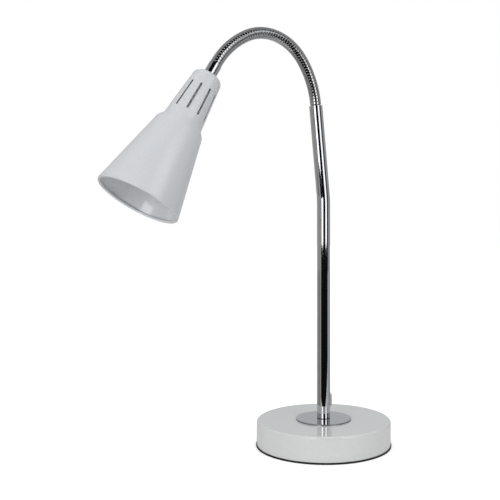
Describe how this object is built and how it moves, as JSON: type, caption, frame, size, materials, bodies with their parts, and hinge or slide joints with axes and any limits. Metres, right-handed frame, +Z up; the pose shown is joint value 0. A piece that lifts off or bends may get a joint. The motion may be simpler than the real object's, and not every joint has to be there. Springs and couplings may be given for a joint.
{
  "type": "table lamp",
  "caption": "Table lamp with a weighted round base, a bent chrome stem, a flexible ribbed neck and a slotted cone shade.",
  "frame": {"origin": "centre of the base pad's underside, on the surface that the lamp stands on", "axes": "+Z up along the upright part of the stem, -X towards the side that the neck leans to, Y across"},
  "size_m": [0.3667, 0.1644, 0.4929],
  "materials": {
    "white_paint": "glossy white stove enamel",
    "chrome": "polished chrome plate",
    "chrome_hose": "chrome plated ribbed hose, slightly dull in the grooves",
    "pad_black": "matt black",
    "steel": "zinc plated",
    "cast_iron": "raw casting",
    "clear_plastic": "milky moulded plastic",
    "holder_plastic": "moulded, satin",
    "ceramic": "unglazed steatite",
    "brass": "plain",
    "wire": "wire insulation"
  },
  "bodies": {
    "base": {"base_pad": "pad_black", "bottom_plate": "steel", "plate_screws": "steel", "base_weight": "cast_iron", "base_washer": "steel", "lock_washer": "steel", "base_nut": "steel", "base_nipple": "steel", "base_cover": "white_paint", "stem_disc": "chrome", "stem_foot": "steel", "stem_tube": "chrome", "cord_gland": "clear_plastic", "stem_leads": "wire", "neck_insert": "steel"},
    "link_01": {"neck_link_01": "chrome_hose"},
    "link_02": {"neck_link_02": "chrome_hose"},
    "link_03": {"neck_link_03": "chrome_hose"},
    "link_04": {"neck_link_04": "chrome_hose"},
    "link_05": {"neck_link_05": "chrome_hose"},
    "link_06": {"neck_link_06": "chrome_hose"},
    "link_07": {"neck_link_07": "chrome_hose"},
    "link_08": {"neck_link_08": "chrome_hose"},
    "link_09": {"neck_link_09": "chrome_hose"},
    "link_10": {"neck_link_10": "chrome_hose"},
    "link_11": {"neck_link_11": "chrome_hose"},
    "link_12": {"neck_link_12": "chrome_hose"},
    "link_13": {"neck_link_13": "chrome_hose"},
    "link_14": {"neck_link_14": "chrome_hose"},
    "head": {"head_ferrule": "chrome", "shade": "white_paint", "shade_washer": "steel", "shade_nut": "steel", "holder_cap": "holder_plastic", "holder_skirt": "holder_plastic", "contact_carrier": "ceramic", "screw_shell": "brass", "centre_contact": "brass", "terminal_screws": "brass", "head_leads": "wire"}
  },
  "joints": [
    {"name": "lower_bend", "type": "hinge", "parent": "base", "child": "link_01", "pos_m": [-0.01233, 0, 0.41046], "axis": [0, -1, 0], "range_deg": [-8.1, 2.02]},
    {"name": "lower_sway", "type": "hinge", "parent": "link_01", "child": "link_02", "pos_m": [-0.01485, 0, 0.42442], "axis": [0.969, 0, 0.2469], "range_deg": [-16, 16]},
    {"name": "lower_bend_2", "type": "hinge", "parent": "link_02", "child": "link_03", "pos_m": [-0.01931, 0, 0.43789], "axis": [0, -1, 0], "range_deg": [-12.14, 3.04]},
    {"name": "lower_bend_3", "type": "hinge", "parent": "link_03", "child": "link_04", "pos_m": [-0.02563, 0, 0.45059], "axis": [0, -1, 0], "range_deg": [-14.49, 3.62]},
    {"name": "lower_sway_2", "type": "hinge", "parent": "link_04", "child": "link_05", "pos_m": [-0.03368, 0, 0.46228], "axis": [0.7817, 0, 0.6236], "range_deg": [-16, 16]},
    {"name": "lower_bend_4", "type": "hinge", "parent": "link_05", "child": "link_06", "pos_m": [-0.04369, 0, 0.4723], "axis": [0, -1, 0], "range_deg": [-16.84, 4.21]},
    {"name": "lower_bend_5", "type": "hinge", "parent": "link_06", "child": "link_07", "pos_m": [-0.05568, 0, 0.47986], "axis": [0, -1, 0], "range_deg": [-19.19, 4.8]},
    {"name": "upper_sway", "type": "hinge", "parent": "link_07", "child": "link_08", "pos_m": [-0.06904, 0, 0.48457], "axis": [0.2256, 0, 0.9742], "range_deg": [-16, 16]},
    {"name": "upper_bend", "type": "hinge", "parent": "link_08", "child": "link_09", "pos_m": [-0.08312, 0, 0.48622], "axis": [0, -1, 0], "range_deg": [-19.19, 4.8]},
    {"name": "upper_bend_2", "type": "hinge", "parent": "link_09", "child": "link_10", "pos_m": [-0.09721, 0, 0.4847], "axis": [0, -1, 0], "range_deg": [-16.91, 4.23]},
    {"name": "upper_sway_2", "type": "hinge", "parent": "link_10", "child": "link_11", "pos_m": [-0.11061, 0, 0.4801], "axis": [-0.4279, 0, 0.9038], "range_deg": [-16, 16]},
    {"name": "upper_bend_3", "type": "hinge", "parent": "link_11", "child": "link_12", "pos_m": [-0.12296, 0, 0.47312], "axis": [0, -1, 0], "range_deg": [-14.63, 3.66]},
    {"name": "upper_bend_4", "type": "hinge", "parent": "link_12", "child": "link_13", "pos_m": [-0.13419, 0, 0.46445], "axis": [0, -1, 0], "range_deg": [-12.35, 3.09]},
    {"name": "upper_sway_3", "type": "hinge", "parent": "link_13", "child": "link_14", "pos_m": [-0.14406, 0, 0.45426], "axis": [-0.7665, 0, 0.6422], "range_deg": [-16, 16]},
    {"name": "upper_bend_5", "type": "hinge", "parent": "link_14", "child": "head", "pos_m": [-0.15237, 0, 0.44275], "axis": [0, -1, 0], "range_deg": [-8.24, 2.06]}
  ],
  "couplings": [
    {"joint": "lower_bend_2", "follows": "lower_bend", "ratio": 1.5},
    {"joint": "lower_bend_3", "follows": "lower_bend", "ratio": 1.7901},
    {"joint": "lower_sway_2", "follows": "lower_sway", "ratio": 1},
    {"joint": "lower_bend_4", "follows": "lower_bend", "ratio": 2.0802},
    {"joint": "lower_bend_5", "follows": "lower_bend", "ratio": 2.3703},
    {"joint": "upper_bend_2", "follows": "upper_bend", "ratio": 0.88124},
    {"joint": "upper_sway_2", "follows": "upper_sway", "ratio": 1},
    {"joint": "upper_bend_3", "follows": "upper_bend", "ratio": 0.76248},
    {"joint": "upper_bend_4", "follows": "upper_bend", "ratio": 0.64372},
    {"joint": "upper_sway_3", "follows": "upper_sway", "ratio": 1},
    {"joint": "upper_bend_5", "follows": "upper_bend", "ratio": 0.42915}
  ]
}
